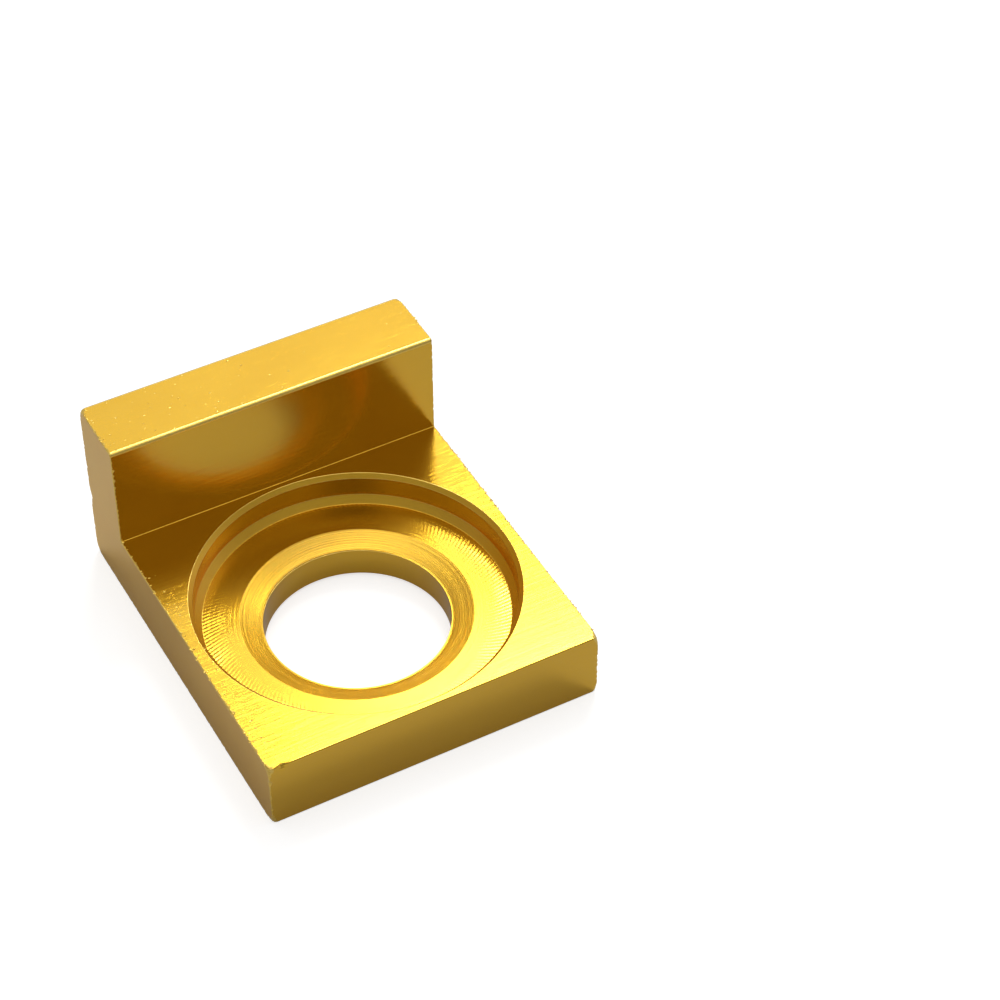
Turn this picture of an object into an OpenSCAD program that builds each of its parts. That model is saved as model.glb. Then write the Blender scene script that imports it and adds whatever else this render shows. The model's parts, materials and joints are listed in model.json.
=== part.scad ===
// Chain adjuster block for a motorcycle's rear axle: an L-shaped aluminium block,
// cut from an extruded angle, with a counterbored axle hole in its base.
// X runs across the width, Y towards the upright flange and Z up, out of the axle bore.
// The origin is on the axle's axis, at the underside.

/* [Block] */
// Width of the block across the cut ends
block_w = 38; // [36:0.5:60]
// Thickness of the base plate
base_t = 8.3; // [6:0.1:14]
// Base length in front of the flange
seat_len = 36.7; // [36:0.1:60]
// Thickness of the upright flange
flange_t = 8.3; // [4:0.1:14]
// Height of the flange above the underside
flange_h = 21.1; // [16:0.1:40]

/* [Extrusion edges] */
// Radius along the flange's two upper edges
crest_r = 0.4; // [0.1:0.05:1.5]
// Radius along the front face's two edges
toe_r = 0.15; // [0.1:0.05:1.5]
// Radius along the heel, under the flange's back
heel_r = 0.6; // [0.1:0.05:2]
// Fillet in the inner corner, where the flange meets the base
root_r = 0.2; // [0.1:0.05:0.7]

/* [Axle bore] */
// Diameter of the wheel axle
axle_d = 20; // [12:0.5:24]
// Clearance on the axle's diameter
axle_clearance = 0.1; // [0.02:0.01:0.2]
// Edge break at the bore's lower rim
bore_break = 0.4; // [0.1:0.05:0.8]

/* [Nut recess] */
// Diameter of the recess wall
recess_d = 34.5; // [30:0.1:35]
// Depth of the recess floor below the base's top
recess_depth = 3.6; // [2:0.1:4]
// Chamfer round the recess's mouth
mouth_chamfer = 0.45; // [0.1:0.05:0.6]
// Chamfer in the corner between the recess wall and its floor
corner_chamfer = 0.75; // [0.2:0.05:1.2]
// Diameter where the floor starts to dip towards the bore
dish_d = 25; // [22:0.1:30]
// Drop of the dished ring from the floor to the bore
dish_drop = 0.85; // [0.2:0.05:1.2]

/* [Hidden] */
$fn = 180;

// Overshoot of a cut past the face that it opens
cut = 1;
front_y = -seat_len / 2;
flange_y = seat_len / 2;
back_y = flange_y + flange_t;
block_l = back_y - front_y;
bore_r = (axle_d + axle_clearance) / 2;
recess_r = recess_d / 2;
floor_z = base_t - recess_depth;
bore_top_z = floor_z - dish_drop;

module adjuster_block() {
    color([0.78, 0.60, 0.16])
        difference() {
            extruded_angle();
            axle_counterbore();
        }
}

// The angle's section, drawn in Y and Z, pulled along X and centred on the width
module extruded_angle() {
    rotate([90, 0, 90])
        linear_extrude(height = block_w, center = true)
            angle_section();
}

module angle_section() {
    difference() {
        union() {
            translate([front_y, 0])
                square([block_l, base_t]);
            translate([flange_y, 0])
                square([flange_t, flange_h]);
            translate([flange_y, base_t])
                mirror([1, 0])
                    corner_web(root_r);
        }
        translate([front_y, 0])
            corner_waste(toe_r);
        translate([front_y, base_t])
            mirror([0, 1])
                corner_waste(toe_r);
        translate([flange_y, flange_h])
            mirror([0, 1])
                corner_waste(crest_r);
        translate([back_y, flange_h])
            rotate(180)
                corner_waste(crest_r);
        translate([back_y, 0])
            mirror([1, 0])
                corner_waste(heel_r);
    }
}

// Fills a square inner corner at the origin, open towards +X and +Y, with a concave fillet
module corner_web(r) {
    difference() {
        translate([-r / 2, -r / 2])
            square(r * 3 / 2);
        translate([r, r])
            circle(r = r);
    }
}

// What a round of radius r takes off an outer corner at the origin, with the metal towards +X and +Y
module corner_waste(r) {
    difference() {
        translate([-cut, -cut])
            square(cut + r);
        translate([r, r])
            circle(r = r);
    }
}

// One turned cut, from the mouth chamfer down through the bore's lower rim
module axle_counterbore() {
    rotate_extrude()
        polygon([
            [0, -cut],
            [bore_r + bore_break, -cut],
            [bore_r + bore_break, 0],
            [bore_r, bore_break],
            [bore_r, bore_top_z],
            [dish_d / 2, floor_z],
            [recess_r - corner_chamfer, floor_z],
            [recess_r, floor_z + corner_chamfer],
            [recess_r, base_t - mouth_chamfer],
            [recess_r + mouth_chamfer, base_t],
            [recess_r + mouth_chamfer, base_t + cut],
            [0, base_t + cut]
        ]);
}

adjuster_block();
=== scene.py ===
"""Looks of a gold anodised chain adjuster block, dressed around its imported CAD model.

The file is laid out as an add-on: a panel lists one operator for the stage and one for each piece.
Lengths in the properties are in metres. Mesh code works in millimetres and scales down at its end.
"""

import json
import math
from types import SimpleNamespace

import bmesh
import bpy
from mathutils import Euler, Matrix, Vector, noise


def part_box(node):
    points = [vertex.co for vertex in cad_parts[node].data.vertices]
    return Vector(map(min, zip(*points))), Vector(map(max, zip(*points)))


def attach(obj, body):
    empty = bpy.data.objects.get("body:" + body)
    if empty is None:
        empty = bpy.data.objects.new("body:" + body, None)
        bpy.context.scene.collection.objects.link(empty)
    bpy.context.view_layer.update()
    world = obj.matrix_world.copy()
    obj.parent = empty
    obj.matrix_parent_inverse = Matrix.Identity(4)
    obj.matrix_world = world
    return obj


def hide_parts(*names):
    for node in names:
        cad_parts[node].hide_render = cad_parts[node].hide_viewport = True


bl_info = {
    "name": "Chain adjuster block",
    "version": (1, 0, 0),
    "blender": (4, 5, 0),
    "location": "3D View > Sidebar > Adjuster block",
    "description": "Builds the anodised block, its tool marks and burrs, and a plain stage",
    "category": "Object",
}

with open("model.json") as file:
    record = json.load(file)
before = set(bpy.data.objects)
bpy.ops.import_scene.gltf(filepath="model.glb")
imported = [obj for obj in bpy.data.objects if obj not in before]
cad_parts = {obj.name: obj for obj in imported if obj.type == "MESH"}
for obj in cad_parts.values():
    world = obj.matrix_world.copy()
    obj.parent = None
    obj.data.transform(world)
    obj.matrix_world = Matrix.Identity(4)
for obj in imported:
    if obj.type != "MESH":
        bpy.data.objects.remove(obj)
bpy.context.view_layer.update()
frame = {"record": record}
NODE = "adjuster_block"
BODY = "root"
MM = 0.001
LOW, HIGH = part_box(NODE)
MOUNTS = {mount["name"]: mount for mount in frame["record"]["mounts"]}
BORE = MOUNTS["axle_bore"]
RECESS = MOUNTS["nut_recess"]


class BlockSizes(bpy.types.PropertyGroup):
    """Sizes of the block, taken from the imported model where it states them"""

    width: bpy.props.FloatProperty(
        name="Width", description="Width across the cut ends", default=HIGH.x - LOW.x, unit="LENGTH")
    front_y: bpy.props.FloatProperty(
        name="Front", description="Place of the front face", default=LOW.y, unit="LENGTH")
    back_y: bpy.props.FloatProperty(
        name="Back", description="Place of the flange's back", default=HIGH.y, unit="LENGTH")
    flange_h: bpy.props.FloatProperty(
        name="Flange height", description="Height of the flange's top", default=HIGH.z, unit="LENGTH")
    flange_t: bpy.props.FloatProperty(
        name="Flange thickness", description="Thickness of the upright flange", default=0.0083, unit="LENGTH")
    base_t: bpy.props.FloatProperty(
        name="Base thickness", description="Thickness of the base plate", default=0.0083, unit="LENGTH")
    toe_r: bpy.props.FloatProperty(
        name="Toe radius", description="Radius along the front face's edges", default=0.00015, unit="LENGTH")
    crest_r: bpy.props.FloatProperty(
        name="Crest radius", description="Radius along the flange's upper edges",
        default=0.0004, unit="LENGTH")
    heel_r: bpy.props.FloatProperty(
        name="Heel radius", description="Radius under the flange's back", default=0.0006, unit="LENGTH")
    root_r: bpy.props.FloatProperty(
        name="Root fillet", description="Fillet at the flange's foot", default=0.00008, unit="LENGTH")
    bore_r: bpy.props.FloatProperty(
        name="Bore radius", description="Radius of the axle bore",
        default=BORE["dims"]["r_mm"] * MM, unit="LENGTH")
    bore_break: bpy.props.FloatProperty(
        name="Lower rim", description="Edge break at the bore's lower rim",
        default=BORE["pos_m"][2], unit="LENGTH")
    bore_top: bpy.props.FloatProperty(
        name="Bore top", description="Height at which the bore's wall ends",
        default=BORE["pos_m"][2] + BORE["dims"]["length_mm"] * MM, unit="LENGTH")
    recess_r: bpy.props.FloatProperty(
        name="Recess radius", description="Radius of the recess wall",
        default=RECESS["dims"]["r_mm"] * MM, unit="LENGTH")
    wall_foot: bpy.props.FloatProperty(
        name="Wall foot", description="Height at which the recess wall starts",
        default=RECESS["pos_m"][2], unit="LENGTH")
    wall_top: bpy.props.FloatProperty(
        name="Wall top", description="Height at which the recess wall meets the mouth's chamfer",
        default=RECESS["pos_m"][2] + RECESS["dims"]["length_mm"] * MM, unit="LENGTH")
    corner_chamfer: bpy.props.FloatProperty(
        name="Corner chamfer", description="Chamfer between the recess wall and its floor",
        default=0.00075, unit="LENGTH")
    rim_land: bpy.props.FloatProperty(
        name="Rim land", description="Width of the flat rim at the bore's top",
        default=0.00018, unit="LENGTH", precision=5)
    dish_r: bpy.props.FloatProperty(
        name="Dish radius", description="Radius where the floor starts to dip", default=0.0125, unit="LENGTH")


class ToolMarks(bpy.types.PropertyGroup):
    """Marks that the saw, the cutter and handling left on the block"""

    chatter_count: bpy.props.IntProperty(
        name="Chatter count", description="Chatter ripples round the recess floor", default=200, min=20)
    chatter_depth: bpy.props.FloatProperty(
        name="Chatter depth", description="Height of a ripple, crest to mean",
        default=0.000006, unit="LENGTH", precision=6)
    chatter_reach: bpy.props.FloatProperty(
        name="Chatter reach", description="How far the ripples run in from the wall", default=0.0031,
        unit="LENGTH")
    chatter_lean: bpy.props.FloatProperty(
        name="Chatter lean", description="Turn of a ripple for each millimetre inwards", default=0.0314,
        subtype="ANGLE")
    saw_break: bpy.props.FloatProperty(
        name="Saw edge", description="Mean edge break along the cut ends", default=0.00009, unit="LENGTH",
        precision=5)
    saw_ragged: bpy.props.FloatProperty(
        name="Saw raggedness", description="How much the cut ends' edge break varies", default=0.0003,
        unit="LENGTH", precision=5)
    corner_rub: bpy.props.FloatProperty(
        name="Corner rub", description="How much more the cut ends' corners are rubbed off", default=0.0005,
        unit="LENGTH", precision=5)
    ring_count: bpy.props.IntProperty(
        name="Turning rings", description="Raised turning marks on the dished ring", default=11, min=1)
    ring_thick: bpy.props.FloatProperty(
        name="Turning ring thickness", description="Thickness of a turning mark", default=0.00003,
        unit="LENGTH", precision=6)
    burr_size: bpy.props.FloatProperty(
        name="Burr size", description="Length of the largest burr on a cut edge", default=0.00042,
        unit="LENGTH", precision=5)
    fleck_size: bpy.props.FloatProperty(
        name="Fleck size", description="Width of the largest fleck on the faces", default=0.00036,
        unit="LENGTH", precision=5)
    seed: bpy.props.IntProperty(
        name="Seed", description="Seed of everything scattered", default=7,
        min=1)


class GoldFinish(bpy.types.PropertyGroup):
    """Colour and gloss of the anodised skin"""

    gold: bpy.props.FloatVectorProperty(
        name="Gold", description="Colour of the anodised metal, seen square on", subtype="COLOR",
        size=3, default=(0.92, 0.565, 0.046))
    gold_deep: bpy.props.FloatVectorProperty(
        name="Deep gold", description="Colour where the dye took more strongly", subtype="COLOR",
        size=3, default=(0.89, 0.505, 0.036))
    gold_worn: bpy.props.FloatVectorProperty(
        name="Worn gold", description="Paler colour of rubbed edges", subtype="COLOR",
        size=3, default=(0.96, 0.72, 0.20))
    extruded_gloss: bpy.props.FloatProperty(
        name="Extruded roughness", description="Roughness of the extruded faces", default=0.15, min=0, max=1)
    sawn_gloss: bpy.props.FloatProperty(
        name="Sawn roughness", description="Roughness of the cut ends", default=0.36, min=0, max=1)
    turned_gloss: bpy.props.FloatProperty(
        name="Turned roughness", description="Roughness of the recess and bore", default=0.18, min=0, max=1)
    chamfer_gloss: bpy.props.FloatProperty(
        name="Chamfer roughness", description="Roughness of the recess's chamfers",
        default=0.42, min=0, max=1)
    worn_gloss: bpy.props.FloatProperty(
        name="Edge roughness", description="Roughness of rubbed edges and burrs", default=0.3, min=0, max=1)
    film: bpy.props.FloatProperty(
        name="Clear film", description="Weight of the clear oxide film over the dye",
        default=0.4, min=0, max=1)


class StageLook(bpy.types.PropertyGroup):
    """Camera, lamps and floor"""

    lens: bpy.props.FloatProperty(name="Lens", description="Focal length, in mm", default=108.3)
    eye: bpy.props.FloatVectorProperty(
        name="Camera place", description="Where the camera stands", subtype="TRANSLATION",
        default=(-0.09174, -0.20110, 0.23717))
    turn: bpy.props.FloatVectorProperty(
        name="Camera turn", description="Rotation of the camera", subtype="EULER",
        default=(math.radians(45.6135), math.radians(0.1472), math.radians(-28.6203)))
    key_azimuth: bpy.props.FloatProperty(
        name="Softbox azimuth", description="Turn of the softbox from straight behind, to the right",
        default=math.radians(36.7), subtype="ANGLE")
    key_height: bpy.props.FloatProperty(
        name="Softbox height", description="Angle of the softbox above the floor",
        default=math.radians(55.5), subtype="ANGLE")
    key_spread: bpy.props.FloatProperty(
        name="Softbox spread", description="Half the angle that the softbox covers, seen from the block",
        default=math.radians(8.3), subtype="ANGLE")
    key_level: bpy.props.FloatProperty(
        name="Softbox level", description="Brightness of the softbox, where paper white is 1", default=13.0)
    floor_colour: bpy.props.FloatVectorProperty(
        name="Floor colour", description="Colour of the floor under the lamps", subtype="COLOR",
        size=3, default=(0.54, 0.54, 0.54))
    floor_lift: bpy.props.FloatProperty(
        name="Floor lift", description="What lifts the lit floor to paper white for the camera", default=0.72)
    floor_gleam: bpy.props.FloatProperty(
        name="Floor gleam", description="Share of the lift that metal and glass see", default=0.04)
    tent_front: bpy.props.FloatProperty(
        name="Tent front", description="Brightness of the tent on the camera's side", default=0.125)
    tent_gleam: bpy.props.FloatProperty(
        name="Tent gleam", description="Share of the white background that metal and glass see", default=0.05)
    tent_back: bpy.props.FloatProperty(
        name="Tent back", description="What the tent's back wall adds", default=0.3)
    tent_wall: bpy.props.FloatProperty(
        name="Tent rear panel", description="What the lit panel under the softbox adds", default=0.3)
    tent_panel: bpy.props.FloatProperty(
        name="Tent panel", description="What the lit panel round the softbox adds", default=0.22)
    tent_roof: bpy.props.FloatProperty(
        name="Tent roof", description="What the roof adds straight above", default=1.15)
    tent_side: bpy.props.FloatProperty(
        name="Tent side", description="What the lit right side adds, low down", default=0.3)
    tent_foot: bpy.props.FloatProperty(
        name="Tent foot", description="What the tent adds low down, near the horizon", default=0.2)
    camera_shade: bpy.props.FloatProperty(
        name="Camera shade", description="How much the camera darkens the tent behind it", default=0.72)


class Value:
    """A number socket, on which sums and products become Math nodes"""

    def __init__(self, graph, socket):
        self.graph = graph
        self.socket = socket

    def maths(self, operation, *others):
        """A Math node that takes this value first"""
        return self.graph.maths(operation, self, *others)

    def __add__(self, other):
        return self.maths("ADD", other)

    def __radd__(self, other):
        return self + other

    def __sub__(self, other):
        return self.maths("SUBTRACT", other)

    def __rsub__(self, other):
        return self.graph.maths("SUBTRACT", other, self)

    def __mul__(self, other):
        return self.maths("MULTIPLY", other)

    def __rmul__(self, other):
        return self * other

    def __truediv__(self, other):
        return self.maths("DIVIDE", other)

    def __pow__(self, other):
        return self.maths("POWER", other)

    def sine(self):
        return self.maths("SINE")

    def root(self):
        return self.maths("SQRT")

    def at_most(self, other):
        return self.maths("MINIMUM", other)

    def at_least(self, other):
        return self.maths("MAXIMUM", other)


class Graph:
    """Adds nodes to a shader or geometry tree"""

    def __init__(self, tree):
        self.tree = tree

    def feed(self, socket, value):
        if isinstance(value, Value):
            value = value.socket
        if isinstance(value, bpy.types.NodeSocket):
            self.tree.links.new(value, socket)
        else:
            socket.default_value = value

    def node(self, kind, settings=None, inputs=None):
        made = self.tree.nodes.new(kind)
        for name, setting in (settings or {}).items():
            setattr(made, name, setting)
        for key, value in (inputs or {}).items():
            self.feed(made.inputs[key], value)
        return made

    def set_shader(self, inputs):
        """Sets or feeds sockets of the Principled shader that a new material starts with"""
        shader = self.tree.nodes["Principled BSDF"]
        for key, value in inputs.items():
            self.feed(shader.inputs[key], value)

    def value(self, kind, settings=None, inputs=None, output=0):
        return Value(self, self.node(kind, settings, inputs).outputs[output])

    def maths(self, operation, *values):
        return self.value("ShaderNodeMath", {"operation": operation}, dict(enumerate(values)))

    def object_mm(self):
        """Object coordinates in millimetres"""
        place = self.node("ShaderNodeTexCoord").outputs["Object"]
        scaled = self.node("ShaderNodeVectorMath", {"operation": "SCALE"}, {"Vector": place, "Scale": 1 / MM})
        return scaled.outputs["Vector"]

    def stretched(self, vector, factors):
        scaled = self.node("ShaderNodeVectorMath", {"operation": "MULTIPLY"}, {0: vector, 1: factors})
        return scaled.outputs["Vector"]

    def noise(self, vector, scale, detail, roughness=0.5):
        return self.value("ShaderNodeTexNoise", None,
                          {"Vector": vector, "Scale": scale, "Detail": detail, "Roughness": roughness})

    def line_noise(self, value, scale, detail):
        """Noise along one number, for marks that keep their distance from an axis"""
        return self.value("ShaderNodeTexNoise", {"noise_dimensions": "1D"},
                          {"W": value, "Scale": scale, "Detail": detail})

    def grain(self, place):
        """The fine grain that most of the finishes share"""
        return self.noise(place, 12.0, 2.0)

    def ray_kinds(self):
        """Whether a ray comes from the camera, and whether it comes off metal or through glass"""
        path = self.node("ShaderNodeLightPath").outputs
        seen = Value(self, path["Is Camera Ray"])
        mirrored = (Value(self, path["Is Glossy Ray"]) + path["Is Transmission Ray"]).at_most(1)
        return seen, mirrored

    def axes(self, vector):
        split = self.node("ShaderNodeSeparateXYZ", None, {0: vector})
        return [Value(self, socket) for socket in split.outputs]

    def facing(self, vector, towards):
        """How squarely a direction faces another, from -1 to 1"""
        return self.value("ShaderNodeVectorMath", {"operation": "DOT_PRODUCT"},
                          {0: vector, 1: towards}, "Value")

    def patch(self, direction, towards, inner, outer):
        """A soft round patch: 1 within the inner angle of a direction, 0 past the outer, in degrees"""
        return self.value("ShaderNodeMapRange", {"interpolation_type": "SMOOTHSTEP"}, {
            "Value": self.facing(direction, towards),
            "From Min": math.cos(math.radians(outer)), "From Max": math.cos(math.radians(inner))})

    def blend_colours(self, factor, first, second):
        made = self.node("ShaderNodeMix", {"data_type": "RGBA"},
                         {0: factor, 6: (*first, 1), 7: (*second, 1)})
        return made.outputs[2]


COAT_IOR = 1.6
COAT_SHARE_OF_GLOSS = 0.6


def metal(name, look, gloss):
    """A new anodised aluminium material, its graph and its object coordinates in millimetres"""
    material = bpy.data.materials.new(name)
    material.use_nodes = True
    material.diffuse_color = (*look.gold, 1)
    graph = Graph(material.node_tree)
    graph.set_shader({
        "Metallic": 1.0, "Roughness": gloss, "Coat Weight": look.film,
        "Coat Roughness": gloss * COAT_SHARE_OF_GLOSS, "Coat IOR": COAT_IOR})
    return material, graph, graph.object_mm()


def dress(graph, height_mm, colour, roughness):
    """Feeds a height in millimetres, a colour and a roughness to the material's shader"""
    bump = graph.node("ShaderNodeBump", None, {"Strength": 1.0, "Distance": MM, "Height": height_mm})
    graph.set_shader({"Normal": bump.outputs["Normal"], "Base Color": colour, "Roughness": roughness})


def extruded_finish(look):
    """Satin faces with hairlines that run the length of the extrusion"""
    material, graph, place = metal("extruded_gold", look, look.extruded_gloss)
    hairlines = graph.noise(graph.stretched(place, (0.3, 30.0, 30.0)), 1.0, 1.0)
    die_lines = graph.noise(graph.stretched(place, (0.02, 2.5, 2.5)), 1.0, 2.0)
    grain = graph.grain(place)
    cloud = graph.noise(place, 0.12, 3.0)
    dress(graph,
          height_mm=hairlines * 0.0028 + die_lines * 0.0065 + grain * 0.0003,
          colour=graph.blend_colours(cloud * 0.6 + hairlines * 0.4, look.gold_deep, look.gold),
          roughness=grain * 0.05 + cloud * 0.05 + (look.extruded_gloss - 0.05))
    return material


def sawn_finish(look):
    """Matt cut ends with fine saw lines across the section"""
    material, graph, place = metal("sawn_gold", look, look.sawn_gloss)
    saw_lines = graph.noise(graph.stretched(place, (1.0, 0.5, 5.0)), 1.0, 3.0, 0.6)
    grain = graph.noise(place, 7.0, 3.0, 0.6)
    cloud = graph.noise(place, 0.3, 2.0)
    dress(graph,
          height_mm=saw_lines * 0.010 + grain * 0.006,
          colour=graph.blend_colours(cloud, look.gold_deep, look.gold),
          roughness=grain * 0.10 + (look.sawn_gloss - 0.05))
    return material


def ringed_finish(look, name, gloss, fine, wide):
    """A turned face with rings round the axle's axis; fine and wide give the height of its marks in mm"""
    material, graph, place = metal(name, look, gloss)
    x, y, z = graph.axes(place)
    radius = (x * x + y * y).root()
    rings = graph.line_noise(radius + z * 0.7, 25.0, 1.0)
    wide_rings = graph.line_noise(radius + z * 0.7, 2.2, 1.0)
    grain = graph.grain(place)
    cloud = graph.noise(place, 0.25, 2.0)
    dress(graph,
          height_mm=rings * fine + wide_rings * wide + grain * 0.0006,
          colour=graph.blend_colours(cloud, look.gold_deep, look.gold),
          roughness=rings * 0.08 + (gloss - 0.04))
    return material


def turned_finish(look):
    """Bright faces of the recess wall, its floor and the bore"""
    return ringed_finish(look, "turned_gold", look.turned_gloss, 0.0035, 0.004)


def dished_finish(look):
    """The dished ring, on which the cutter's feed left plain grooves"""
    return ringed_finish(look, "dished_gold", look.turned_gloss + 0.10, 0.017, 0.010)


def chamfered_finish(look):
    """The recess's chamfers, matter than its other faces"""
    return ringed_finish(look, "chamfered_gold", look.chamfer_gloss, 0.004, 0.006)


def worn_finish(look):
    """Rubbed edges, burrs and flecks, where the dyed skin is thin and pale"""
    material, graph, place = metal("worn_gold", look, look.worn_gloss)
    patches = graph.noise(place, 2.5, 3.0, 0.6)
    grain = graph.grain(place)
    dress(graph,
          height_mm=patches * 0.02 + grain * 0.004,
          colour=graph.blend_colours(patches, look.gold, look.gold_worn),
          roughness=grain * 0.15 + (look.worn_gloss - 0.08))
    return material


FINISHES = {
    "extruded_gold": extruded_finish,
    "sawn_gold": sawn_finish,
    "turned_gold": turned_finish,
    "dished_gold": dished_finish,
    "chamfered_gold": chamfered_finish,
    "worn_gold": worn_finish,
}
# Places of the finishes above in the block's material list
EXTRUDED, SAWN, TURNED, DISHED, CHAMFERED, WORN = range(6)


def finish_named(name):
    return bpy.data.materials.get(name) or FINISHES[name](bpy.context.scene.block_finish)


def in_mm(group):
    """The lengths of a property group in millimetres, and its other values as they are"""
    values = SimpleNamespace()
    for name, prop in group.bl_rna.properties.items():
        if prop.type in {"INT", "FLOAT"}:
            scale = 1 / MM if prop.unit == "LENGTH" else 1
            setattr(values, name, getattr(group, name) * scale)
    return values


def corner_arc(before, corner, after, radius, steps):
    """Points of the arc that rounds one corner of an outline, from its first tangent to its last"""
    back = (before - corner).normalized()
    ahead = (after - corner).normalized()
    half = back.angle(ahead) / 2
    reach = radius / math.tan(half)
    centre = corner + (back + ahead).normalized() * (radius / math.sin(half))
    first = (corner + back * reach - centre).normalized()
    last = (corner + ahead * reach - centre).normalized()
    return [centre + first.lerp(last, step / steps).normalized() * radius for step in range(steps + 1)]


def divided(first, last, spacing):
    """Points strictly between two points, no further apart than the spacing"""
    count = max(1, math.ceil((last - first).length / spacing))
    return [first.lerp(last, step / count) for step in range(1, count)]


ARC_STEPS = 6
# Largest distance in mm between two points of the section
EDGE_SPACING = 0.15
# A straight of the section goes by the number of the corner before it
UNDERSIDE = 0
BASE_TOP = 4
ARC = -1


def section_outline(size):
    """The angle's section as (y, z) points

    Also gives the straight that follows each point, ARC on a rounded corner, and that strip's finish.
    """
    flange_y = size.back_y - size.flange_t
    corners = [
        # place, rounding, and the finish of the rounding
        (size.front_y, 0, size.toe_r, WORN),
        (size.back_y, 0, size.heel_r, EXTRUDED),
        (size.back_y, size.flange_h, size.crest_r, WORN),
        (flange_y, size.flange_h, size.crest_r, WORN),
        (flange_y, size.base_t, size.root_r, EXTRUDED),
        (size.front_y, size.base_t, size.toe_r, EXTRUDED),
    ]
    count = len(corners)
    spots = [Vector(corner[:2]) for corner in corners]
    arcs = [corner_arc(spots[i - 1], spots[i], spots[(i + 1) % count], corners[i][2], ARC_STEPS)
            for i in range(count)]
    points, straights, finishes = [], [], []
    for i, arc in enumerate(arcs):
        run = divided(arc[-1], arcs[(i + 1) % count][0], EDGE_SPACING)
        points += arc + run
        straights += [ARC] * ARC_STEPS + [i] * (len(run) + 1)
        finishes += [corners[i][3]] * ARC_STEPS + [EXTRUDED] * (len(run) + 1)
    return points, straights, finishes


def outward_normals(points, reach):
    """Normals of a closed outline, each averaged over its neighbours within a reach along the outline"""
    count = len(points)
    straights = [points[(i + 1) % count] - points[i] for i in range(count)]
    plain = [Vector((along.y, -along.x)) for along in straights]
    normals = []
    for i in range(count):
        total = Vector((0, 0))
        for way, first in ((1, i), (-1, i - 1)):
            walked, k = 0.0, first
            while walked < reach:
                total += plain[k % count] * (1 - walked / reach)
                walked += straights[k % count].length
                k += way
        normals.append(total.normalized())
    return normals


NICKS = [
    # y, z, depth and length of the dents in the left cut edge, in mm
    (-9.6, 8.3, 0.34, 0.35),
    (-8.7, 8.3, 0.20, 0.25),
    (3.1, 8.3, 0.16, 0.22),
    (-15.2, 8.3, 0.15, 0.3),
    (19.2, 21.1, 0.14, 0.3),
]
# Largest edge break at a cut end, and how far a corner's rubbing reaches along the edge, in mm
LARGEST_BREAK = 0.6
RUB_REACH = 0.8


def saw_breaks(points, size, marks, side):
    """How far the cut end's edge is broken at each point of the section"""
    outer = [Vector((y, z)) for y in (size.front_y, size.back_y) for z in (0, size.base_t, size.flange_h)]
    breaks = []
    for point in points:
        coarse = noise.noise(Vector((point.x * 0.9, point.y * 0.9, 17.0 * side + marks.seed)))
        fine = noise.noise(Vector((point.x * 2.9, point.y * 2.9, 5.0 * side - marks.seed)))
        wave = max(0.0, 0.4 * coarse + 1.1 * fine)
        rubbed = max(math.exp(-((point - corner).length / RUB_REACH) ** 2) for corner in outer)
        size_here = marks.saw_break + marks.saw_ragged * wave + marks.corner_rub * rubbed
        if side < 0:
            for y, z, depth, length in NICKS:
                size_here += depth * math.exp(-(((point.x - y) ** 2 + (point.y - z) ** 2) / length ** 2))
        breaks.append(min(size_here, LARGEST_BREAK))
    return breaks


# Steps across the rounding of a cut end's edge
END_STEPS = 3
# Normals at the cut ends are averaged over this length of the section, in mm
NORMAL_REACH = 1.2
# Along the width, in mm: room for the cut ends' edges, then a closely divided run, then a wide one
END_GAP = 0.7
CLOSE_RUN = 2.0
CLOSE_SPACING = 0.25
WIDE_SPACING = 1.0


def column_places(width):
    """Where the section is repeated along the width: closely near the cut ends, for the nicks there"""
    reach = width / 2 - END_GAP
    close = int(CLOSE_RUN / CLOSE_SPACING)
    places = [-reach + step * CLOSE_SPACING for step in range(close)]
    open_run = 2 * (reach - CLOSE_RUN)
    middle = math.ceil(open_run / WIDE_SPACING)
    places += [-reach + CLOSE_RUN + step * open_run / middle for step in range(middle + 1)]
    places += [-place for place in reversed(places[:close])]
    return places


def section_rings(points, size, marks):
    """The section's rings along the width as rows of (x, y, z), from the left cut end to the right"""
    normals = outward_normals(points, NORMAL_REACH)
    ends = {}
    for side in (-1, 1):
        breaks = saw_breaks(points, size, marks, side)
        rings = []
        for step in range(END_STEPS + 1):
            angle = math.pi / 2 * (END_STEPS - step) / END_STEPS
            ring = []
            for point, normal, size_here in zip(points, normals, breaks):
                x = side * (size.width / 2 - size_here * (1 - math.sin(angle)))
                spot = point - normal * (size_here * (1 - math.cos(angle)))
                ring.append((x, spot.x, spot.y))
            rings.append(ring)
        ends[side] = rings
    columns = [[(x, point.x, point.y) for point in points] for x in column_places(size.width)]
    return ends[-1] + columns + list(reversed(ends[1]))


# The nick in the front's upper edge, in mm: its distance from the left cut end, its depth and length
FRONT_NICK_X = 1.55
FRONT_NICK_DEPTH = 0.22
FRONT_NICK_LENGTH = 0.42


def dent_front_edge(rings, size):
    """A small nick in the front's upper edge, near its left end"""
    nick = Vector((-size.width / 2 + FRONT_NICK_X, size.front_y, size.base_t))
    for ring in rings:
        for k, spot in enumerate(ring):
            away = (Vector(spot) - nick).length
            if away < 3 * FRONT_NICK_LENGTH:
                push = FRONT_NICK_DEPTH * math.exp(-(away / FRONT_NICK_LENGTH) ** 2)
                # Points on the base's top only move back, so the top stays flat
                sink = 0 if abs(spot[2] - size.base_t) < 0.001 else push
                ring[k] = (spot[0], spot[1] + push, spot[2] - sink)


# Segments round the recess, five to a chatter ripple, and across each rounded edge in it
TURNS = 1000
ROUND_STEPS = 3


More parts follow.
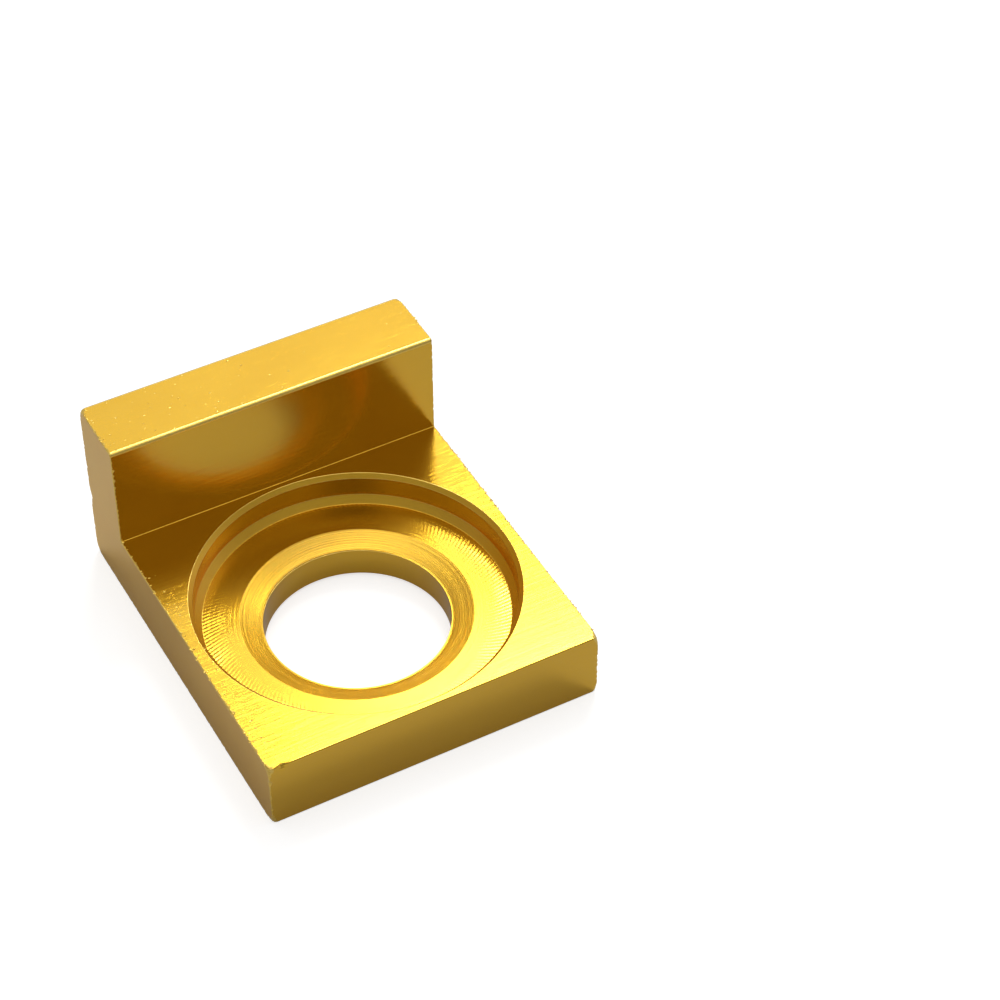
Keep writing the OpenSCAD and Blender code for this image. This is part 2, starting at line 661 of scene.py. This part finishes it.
def turned_profile(size):
    """The counterbore's half section, from the mouth down to the lower rim

    Gives its (radius, height) points, and the finish of the strip that follows each point.
    """
    floor = size.wall_foot - size.corner_chamfer
    mouth = size.base_t - size.wall_top
    corners = [
        # radius, height, rounding, and the finishes of the rounding and of what follows it
        (size.recess_r + mouth, size.base_t, 0.10, WORN, CHAMFERED),
        (size.recess_r, size.wall_top, 0.12, WORN, TURNED),
        (size.recess_r, size.wall_foot, 0.14, WORN, CHAMFERED),
        (size.recess_r - size.corner_chamfer, floor, 0.12, CHAMFERED, TURNED),
        (size.dish_r, floor, 0.14, DISHED, DISHED),
        (size.bore_r + size.rim_land, size.bore_top, 0.05, DISHED, TURNED),
        (size.bore_r, size.bore_top, 0.05, WORN, TURNED),
        (size.bore_r, size.bore_break, 0.05, TURNED, CHAMFERED),
        (size.bore_r + size.bore_break, 0, 0.03, TURNED, TURNED),
    ]
    spots = [Vector(corner[:2]) for corner in corners]
    # The first and last of these only give the corners beside them a direction
    chain = [Vector((size.recess_r + 2, size.base_t)), *spots, Vector((size.bore_r + 2, 0))]
    # Largest distance between two points after each corner: close on the floor, for the ripples
    spacings = [1, 1, 0.4, 0.155, 0.4, 1, 1, 1]
    points, finishes = [], []
    for i, corner in enumerate(corners):
        arc = corner_arc(chain[i], chain[i + 1], chain[i + 2], corner[2], ROUND_STEPS)
        if points:
            run = divided(points[-1], arc[0], spacings[i - 1])
            points += run
            finishes += [corners[i - 1][4]] * (len(run) + 1)
        points += arc
        finishes += [corner[3]] * ROUND_STEPS
    return points, finishes


def fill_face(bm, loops, normal):
    """Fills a flat face between an outer loop of vertices and its holes"""
    edges = []
    for loop in loops:
        for i, vert in enumerate(loop):
            pair = (loop[i - 1], vert)
            edges.append(bm.edges.get(pair) or bm.edges.new(pair))
    made = bmesh.ops.triangle_fill(bm, use_beauty=True, use_dissolve=False, edges=edges, normal=normal)
    return [face for face in made["geom"] if isinstance(face, bmesh.types.BMFace)]


def build_block_mesh(size, marks):
    """The block as one closed mesh: the extruded angle with the counterbore turned out of its base"""
    points, straights, strips = section_outline(size)
    rings = section_rings(points, size, marks)
    dent_front_edge(rings, size)
    bm = bmesh.new()
    turned = bm.faces.layers.bool.new("turned")
    grid = [[bm.verts.new(spot) for spot in ring] for ring in rings]
    count, last = len(points), len(rings) - 1
    open_rows = range(END_STEPS, last - END_STEPS)
    for m in range(last):
        for k in range(count):
            if straights[k] in (UNDERSIDE, BASE_TOP) and m in open_rows:
                continue
            k2 = (k + 1) % count
            face = bm.faces.new((grid[m][k], grid[m][k2], grid[m + 1][k2], grid[m + 1][k]))
            face.material_index = strips[k] if m in open_rows else WORN
    for ring, normal in ((grid[0], (-1, 0, 0)), (grid[-1], (1, 0, 0))):
        for face in fill_face(bm, [ring], normal):
            face.material_index = SAWN
    profile, finishes = turned_profile(size)
    angles = [2 * math.pi * turn / TURNS for turn in range(TURNS)]
    hoops = [[bm.verts.new((spot.x * math.cos(a), spot.x * math.sin(a), spot.y)) for a in angles]
             for spot in profile]
    for upper, lower, finish in zip(hoops, hoops[1:], finishes):
        for turn in range(TURNS):
            after = (turn + 1) % TURNS
            face = bm.faces.new((upper[turn], upper[after], lower[after], lower[turn]))
            face.material_index = finish
            face[turned] = finish == TURNED
    for straight, hoop, normal in ((BASE_TOP, hoops[0], (0, 0, 1)), (UNDERSIDE, hoops[-1], (0, 0, -1))):
        first = straights.index(straight)
        final = first + straights.count(straight)
        inner = grid[END_STEPS:last - END_STEPS + 1]
        outline = [ring[first] for ring in inner]
        outline += inner[-1][first + 1:final]
        outline += [ring[final] for ring in reversed(inner)]
        outline += list(reversed(inner[0][first + 1:final]))
        for face in fill_face(bm, [outline, hoop], normal):
            face.material_index = EXTRUDED
    spare = [vert for vert in bm.verts if not vert.link_faces]
    bmesh.ops.delete(bm, geom=spare, context="VERTS")
    bmesh.ops.recalc_face_normals(bm, faces=bm.faces)
    bm.transform(Matrix.Scale(MM, 4))
    mesh = bpy.data.meshes.new("block_body")
    bm.to_mesh(mesh)
    bm.free()
    return mesh


class GeometryGraph(Graph):
    """A geometry node tree with named inputs"""

    def __init__(self, name, inputs):
        tree = bpy.data.node_groups.new(name, "GeometryNodeTree")
        tree.is_modifier = True
        super().__init__(tree)
        tree.interface.new_socket("Geometry", in_out="INPUT", socket_type="NodeSocketGeometry")
        tree.interface.new_socket("Geometry", in_out="OUTPUT", socket_type="NodeSocketGeometry")
        self.identifiers = {}
        for label, kind in inputs.items():
            made = tree.interface.new_socket(label, in_out="INPUT", socket_type="NodeSocket" + kind)
            self.identifiers[label] = made.identifier
        self.entry = tree.nodes.new("NodeGroupInput")
        self.exit = tree.nodes.new("NodeGroupOutput")

    def given(self, label):
        return Value(self, self.entry.outputs[label])

    def end(self, geometry, selection=None):
        """Closes the tree with Realize Instances and Set Material"""
        real = self.node("GeometryNodeRealizeInstances", None, {"Geometry": geometry})
        painted = self.node("GeometryNodeSetMaterial", None,
                            {"Geometry": real.outputs[0], "Material": self.given("Material")})
        if selection is not None:
            self.feed(painted.inputs["Selection"], selection)
        self.feed(self.exit.inputs[0], painted.outputs[0])

    def between(self, first, last, share):
        """The value that lies a share of the way from one input to another"""
        return self.given(first) + (self.given(last) - self.given(first)) * share

    def random(self, low, high, salt, kind="FLOAT"):
        """A random value for each point, from the tree's seed and a salt"""
        spots = {"FLOAT": (2, 3, 1), "FLOAT_VECTOR": (0, 1, 0)}[kind]
        made = self.node("FunctionNodeRandomValue", {"data_type": kind},
                         {spots[0]: low, spots[1]: high, "Seed": self.given("Seed") + salt})
        return made.outputs[spots[2]]


def run_tree(obj, graph, values):
    """Puts the tree on an object, sets its inputs, and swaps the object's mesh for the plain result"""
    modifier = obj.modifiers.new(graph.tree.name, "NODES")
    modifier.node_group = graph.tree
    for label, value in values.items():
        modifier[graph.identifiers[label]] = value
    obj.update_tag()
    bpy.context.view_layer.update()
    evaluated = obj.evaluated_get(bpy.context.evaluated_depsgraph_get())
    mesh = bpy.data.meshes.new_from_object(evaluated)
    # A shape made in the tree can bring an empty material slot before its own
    if mesh.materials and mesh.materials[0] is None:
        mesh.materials.pop(index=0)
    obj.modifiers.remove(modifier)
    obj.data = mesh
    mesh.name = obj.name
    if not mesh.polygons:
        raise RuntimeError(f"{graph.tree.name} made no faces")


def add_object(name, mesh):
    obj = bpy.data.objects.new(name, mesh)
    bpy.context.scene.collection.objects.link(obj)
    return obj


def settle(obj):
    """What every finished piece gets: its body"""
    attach(obj, BODY)


def chatter_tree():
    """Ripples that the cutter left round the recess floor, as real relief"""
    graph = GeometryGraph("chatter_ripples", {
        "Count": "Int", "Depth": "Float", "Outer radius": "Float", "Reach": "Float", "Lean": "Float",
        "Floor height": "Float", "Material": "Material"})
    place = graph.node("GeometryNodeInputPosition").outputs[0]
    x, y, z = graph.axes(place)
    radius = (x * x + y * y).root()
    angle = y.maths("ARCTAN2", x)
    inwards = graph.given("Outer radius") - radius
    phase = (angle + graph.given("Lean") * inwards / MM) * graph.given("Count")
    near_wall = (1 - inwards / graph.given("Reach")).at_least(0).at_most(1)
    inside = (graph.given("Outer radius") + 0.00001).maths("GREATER_THAN", radius)
    on_floor = z.maths("COMPARE", graph.given("Floor height"), 0.00002)
    patches = graph.noise(place, 260.0, 1.0)
    uneven = (patches * 3.0 - 0.6).at_least(0.65).at_most(1.2)
    strength = near_wall ** 1.4 * inside * on_floor * uneven
    lift = phase.sine() * strength * graph.given("Depth")
    offset = graph.node("ShaderNodeCombineXYZ", None, {"Z": lift})
    moved = graph.node("GeometryNodeSetPosition", None,
                       {"Geometry": graph.entry.outputs[0], "Offset": offset.outputs[0]})
    turned = graph.node("GeometryNodeInputNamedAttribute", {"data_type": "BOOLEAN"}, {"Name": "turned"})
    picked = next(socket for socket in turned.outputs if socket.enabled and socket.name == "Attribute")
    graph.end(moved.outputs[0], selection=picked)
    return graph


def turning_tree():
    """Raised turning marks: circles between two radii, from the dish's outer edge down to the bore"""
    graph = GeometryGraph("turning_marks", {
        "Count": "Int", "Outer radius": "Float", "Inner radius": "Float", "Outer height": "Float",
        "Inner height": "Float", "Thickness": "Float", "Seed": "Int", "Material": "Material"})
    spots = graph.node("GeometryNodeMeshLine", None, {"Count": graph.given("Count")})
    index = graph.value("GeometryNodeInputIndex")
    share = (index + graph.random(0.15, 0.85, 1)) / graph.given("Count")
    radius = graph.between("Outer radius", "Inner radius", share)
    height = graph.between("Outer height", "Inner height", share)
    middle = graph.node("ShaderNodeCombineXYZ", None, {"Z": height})
    placed = graph.node("GeometryNodeSetPosition", None,
                        {"Geometry": spots.outputs[0], "Position": middle.outputs[0]})
    wide = graph.node("ShaderNodeCombineXYZ", None, {"X": radius, "Y": radius, "Z": 1.0})
    circle = graph.node("GeometryNodeCurvePrimitiveCircle", None, {"Resolution": 240, "Radius": 1.0})
    copies = graph.node("GeometryNodeInstanceOnPoints", None, {
        "Points": placed.outputs[0], "Instance": circle.outputs[0], "Scale": wide.outputs[0]})
    real = graph.node("GeometryNodeRealizeInstances", None, {"Geometry": copies.outputs[0]})
    bead = graph.node("GeometryNodeCurvePrimitiveCircle", None,
                      {"Resolution": 6, "Radius": graph.given("Thickness") / 2})
    tube = graph.node("GeometryNodeCurveToMesh", None,
                      {"Curve": real.outputs[0], "Profile Curve": bead.outputs[0]})
    graph.end(tube.outputs[0])
    return graph


def shard_tree(name):
    """Small faceted shards on a random share of the input mesh's points, turned and sized at random"""
    graph = GeometryGraph(name, {
        "Size": "Float", "Share": "Float", "Flatness": "Float", "Seed": "Int", "Material": "Material"})
    shift = graph.random((-0.00009, -0.00009, -0.00003), (0.00009, 0.00009, 0.00001), 1, "FLOAT_VECTOR")
    stir = graph.node("GeometryNodeSetPosition", None,
                      {"Geometry": graph.entry.outputs[0], "Offset": shift})
    kept = graph.maths("LESS_THAN", graph.random(0.0, 1.0, 2), graph.given("Share"))
    shard = graph.node("GeometryNodeMeshIcoSphere", None, {"Radius": 0.5, "Subdivisions": 1})
    length = Value(graph, graph.random(0.25, 1.0, 3)) ** 2.0 * graph.given("Size")
    breadth = length * Value(graph, graph.random(0.3, 0.8, 4))
    scale = graph.node("ShaderNodeCombineXYZ", None,
                       {"X": length, "Y": breadth, "Z": length * graph.given("Flatness")})
    turn = graph.random((-0.35, -0.35, -0.5), (0.35, 0.35, 0.5), 5, "FLOAT_VECTOR")
    copies = graph.node("GeometryNodeInstanceOnPoints", None, {
        "Points": stir.outputs[0], "Selection": kept, "Instance": shard.outputs[0],
        "Rotation": turn, "Scale": scale.outputs[0]})
    graph.end(copies.outputs[0])
    return graph


def point_mesh(name, spots):
    mesh = bpy.data.meshes.new(name)
    mesh.from_pydata([tuple(part * MM for part in spot) for spot in spots], [], [])
    return mesh


def aimed(azimuth, height):
    """The direction at an azimuth, turned from straight behind to the right, and a height above the floor"""
    return Vector((
        math.sin(azimuth) * math.cos(height),
        math.cos(azimuth) * math.cos(height),
        math.sin(height)))


TENT_PATCHES = {
    # a property of the stage, and its patch: azimuth, height, inner and outer angle, in degrees
    "tent_panel": (52, 58, 24, 40),
    "tent_wall": (22, 33, 9.5, 17),
    "tent_side": (82, 12, 10, 42),
    "tent_roof": (0, 90, 12, 42),
}
# Inner and outer angle of the camera's shade, in degrees, and the sine of the height where the foot ends
SHADE_INNER, SHADE_OUTER = 8, 20
FOOT_TOP = 0.72
# In metres: the softbox's distance, half the floor's width, and the floor's gap under the block
LAMP_DISTANCE = 2.0
FLOOR_REACH = 3.0
FLOOR_GAP = 0.00002


class ADJUSTER_OT_stage(bpy.types.Operator):
    """Sets the camera, the softbox, the light tent and the floor"""

    bl_idname = "adjuster.stage"
    bl_label = "Stage"

    def execute(self, context):
        look = context.scene.block_stage
        self.set_camera(context.scene, look)
        self.hang_softbox(look)
        self.raise_tent(context.scene, look)
        self.lay_floor(look)
        context.scene.view_settings.view_transform = "Standard"
        return {"FINISHED"}

    def set_camera(self, scene, look):
        data = bpy.data.cameras.new("photo_camera")
        data.lens = look.lens
        data.sensor_width = 36
        data.clip_start = 0.01
        camera = add_object("photo_camera", data)
        camera.location = look.eye
        camera.rotation_euler = Euler(look.turn)
        scene.camera = camera

    def hang_softbox(self, look):
        radius = LAMP_DISTANCE * math.tan(look.key_spread)
        data = bpy.data.lights.new("softbox", "AREA")
        data.shape = "DISK"
        data.size = 2 * radius
        # In watts: the disk's brightness times pi, times its area
        data.energy = look.key_level * math.pi * math.pi * radius ** 2
        towards = aimed(look.key_azimuth, look.key_height)
        lamp = add_object("softbox", data)
        lamp.location = towards * LAMP_DISTANCE
        lamp.rotation_euler = towards.to_track_quat("Z", "Y").to_euler()

    def raise_tent(self, scene, look):
        """A light tent as the world: bright at the right, the rear and above, grey on the camera's side"""
        world = bpy.data.worlds.new("light_tent")
        scene.world = world
        world.use_nodes = True
        graph = Graph(world.node_tree)
        direction = graph.node("ShaderNodeTexCoord").outputs["Generated"]
        _, y, z = graph.axes(direction)
        foot = (1 - z / FOOT_TOP).at_least(0).at_most(1)
        level = look.tent_front + y.at_least(0) * look.tent_back + foot * look.tent_foot
        for name, (azimuth, height, inner, outer) in TENT_PATCHES.items():
            towards = aimed(math.radians(azimuth), math.radians(height))
            level = level + graph.patch(direction, towards, inner, outer) * getattr(look, name)
        lens = graph.patch(direction, Vector(look.eye).normalized(), SHADE_INNER, SHADE_OUTER)
        level = level * (1 - lens * look.camera_shade)
        seen, mirrored = graph.ray_kinds()
        strength = level * (1 - seen) + seen + mirrored * look.tent_gleam
        back = world.node_tree.nodes["Background"]
        graph.feed(back.inputs["Strength"], strength)
        back.inputs["Color"].default_value = (1, 1, 1, 1)

    def lay_floor(self, look):
        mesh = bpy.data.meshes.new("floor")
        sides = ((-1, -1), (1, -1), (1, 1), (-1, 1))
        corners = [(x * FLOOR_REACH, y * FLOOR_REACH, LOW.z - FLOOR_GAP) for x, y in sides]
        mesh.from_pydata(corners, [], [(0, 1, 2, 3)])
        floor = add_object("floor", mesh)
        material = bpy.data.materials.new("floor_paper")
        material.use_nodes = True
        graph = Graph(material.node_tree)
        material.node_tree.nodes.remove(material.node_tree.nodes["Principled BSDF"])
        paper = graph.node("ShaderNodeBsdfDiffuse", None, {"Color": (*look.floor_colour, 1)})
        seen, mirrored = graph.ray_kinds()
        lift = graph.node("ShaderNodeEmission", None, {
            "Strength": (seen + mirrored * look.floor_gleam) * look.floor_lift})
        both = graph.node("ShaderNodeAddShader", None, {0: paper.outputs[0], 1: lift.outputs[0]})
        graph.feed(material.node_tree.nodes["Material Output"].inputs["Surface"], both.outputs[0])
        mesh.materials.append(material)


class ADJUSTER_OT_block(bpy.types.Operator):
    """Builds the block's body with real edge breaks, a turned recess and chatter ripples"""

    bl_idname = "adjuster.block"
    bl_label = "Block body"

    def execute(self, context):
        size = context.scene.block_sizes
        marks = context.scene.block_marks
        mesh = build_block_mesh(in_mm(size), in_mm(marks))
        for name in FINISHES:
            mesh.materials.append(finish_named(name))
        body = add_object("block_body", mesh)
        run_tree(body, chatter_tree(), {
            "Count": marks.chatter_count,
            "Depth": marks.chatter_depth,
            "Outer radius": size.recess_r - size.corner_chamfer,
            "Reach": marks.chatter_reach,
            "Lean": marks.chatter_lean,
            "Floor height": size.wall_foot - size.corner_chamfer,
            "Material": finish_named("turned_gold"),
        })
        settle(body)
        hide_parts(NODE)
        return {"FINISHED"}


class ADJUSTER_OT_turning(bpy.types.Operator):
    """Adds the raised turning marks on the dished ring round the bore"""

    bl_idname = "adjuster.turning"
    bl_label = "Turning marks"

    def execute(self, context):
        size = context.scene.block_sizes
        marks = context.scene.block_marks
        rings = add_object("turning_marks", bpy.data.meshes.new("turning_marks"))
        run_tree(rings, turning_tree(), {
            "Count": marks.ring_count,
            "Outer radius": size.dish_r,
            "Inner radius": size.bore_r + size.rim_land,
            "Outer height": size.wall_foot - size.corner_chamfer,
            "Inner height": size.bore_top,
            "Thickness": marks.ring_thick,
            "Seed": marks.seed,
            "Material": finish_named("turned_gold"),
        })
        settle(rings)
        return {"FINISHED"}


class ADJUSTER_OT_burrs(bpy.types.Operator):
    """Adds the burrs that the saw left along the upper edges of the cut ends"""

    bl_idname = "adjuster.burrs"
    bl_label = "Saw burrs"

    def execute(self, context):
        size = in_mm(context.scene.block_sizes)
        marks = context.scene.block_marks
        flange_y = size.back_y - size.flange_t
        # In mm: room at the corners, distance between burrs, how far in from the end and how deep they sit
        room, pitch, inset, sunk = 0.8, 0.16, 0.10, 0.01
        runs = [
            # first y, last y and height of an edge
            (size.front_y + room, flange_y - room, size.base_t),
            (flange_y + room, size.back_y - room, size.flange_h),
        ]
        spots = []
        for side in (-1, 1):
            edge_x = side * (size.width / 2 - inset)
            for low, high, z in runs:
                count = int((high - low) / pitch)
                spots += [(edge_x, low + (high - low) * step / count, z - sunk) for step in range(count + 1)]
        burrs = add_object("saw_burrs", point_mesh("saw_burrs", spots))
        run_tree(burrs, shard_tree("saw_burr_shards"), {
            "Size": marks.burr_size, "Share": 0.55, "Flatness": 0.35, "Seed": marks.seed,
            "Material": finish_named("worn_gold")})
        settle(burrs)
        return {"FINISHED"}


class ADJUSTER_OT_flecks(bpy.types.Operator):
    """Adds the sparse bright flecks on the flange's top and on the base beside the recess"""

    bl_idname = "adjuster.flecks"
    bl_label = "Surface flecks"

    def execute(self, context):
        size = in_mm(context.scene.block_sizes)
        marks = context.scene.block_marks
        half = size.width / 2
        flange_y = size.back_y - size.flange_t
        zones = [
            # lowest x and y, highest x and y, height and grid pitch, in mm
            (-half + 0.4, flange_y + 0.5, -2.0, size.back_y - 0.6, size.flange_h, 1.1),
            (-1.0, flange_y + 0.5, half - 0.6, size.back_y - 0.6, size.flange_h, 2.1),
            (-half + 0.35, -16.0, -half + 1.3, 12.0, size.base_t, 0.6),
        ]
        raised = 0.005
        spots = []
        noise.seed_set(marks.seed)
        for x0, y0, x1, y1, z, pitch in zones:
            columns = max(1, int((x1 - x0) / pitch))
            rows = max(1, int((y1 - y0) / pitch))
            for i in range(columns + 1):
                for j in range(rows + 1):
                    shift = noise.noise_vector(Vector((i * 1.7 + z, j * 2.3 + x0, marks.seed))) * pitch
                    x = min(max(x0 + (x1 - x0) * i / columns + shift.x, x0), x1)
                    y = min(max(y0 + (y1 - y0) * j / rows + shift.y, y0), y1)
                    spots.append((x, y, z + raised))
        flecks = add_object("surface_flecks", point_mesh("surface_flecks", spots))
        run_tree(flecks, shard_tree("surface_fleck_shards"), {
            "Size": marks.fleck_size, "Share": 0.7, "Flatness": 0.3, "Seed": marks.seed + 40,
            "Material": finish_named("worn_gold")})
        settle(flecks)
        return {"FINISHED"}


OPERATORS = (
    ADJUSTER_OT_stage,
    ADJUSTER_OT_block,
    ADJUSTER_OT_turning,
    ADJUSTER_OT_burrs,
    ADJUSTER_OT_flecks,
)


class ADJUSTER_PT_panel(bpy.types.Panel):
    """Lists the stage and the pieces in the order in which they are made"""

    bl_idname = "ADJUSTER_PT_panel"
    bl_label = "Adjuster block"
    bl_space_type = "VIEW_3D"
    bl_region_type = "UI"
    bl_category = "Adjuster block"

    def draw(self, context):
        for operator in OPERATORS:
            self.layout.operator(operator.bl_idname)


GROUPS = {
    "block_sizes": BlockSizes,
    "block_marks": ToolMarks,
    "block_finish": GoldFinish,
    "block_stage": StageLook,
}
CLASSES = (*GROUPS.values(), *OPERATORS, ADJUSTER_PT_panel)


def register():
    for item in CLASSES:
        bpy.utils.register_class(item)
    for name, group in GROUPS.items():
        setattr(bpy.types.Scene, name, bpy.props.PointerProperty(type=group))


def unregister():
    for name in GROUPS:
        delattr(bpy.types.Scene, name)
    for item in reversed(CLASSES):
        bpy.utils.unregister_class(item)


def main():
    register()
    for operator in OPERATORS:
        family, name = operator.bl_idname.split(".")
        getattr(getattr(bpy.ops, family), name)()


if __name__ == "__main__":
    main()
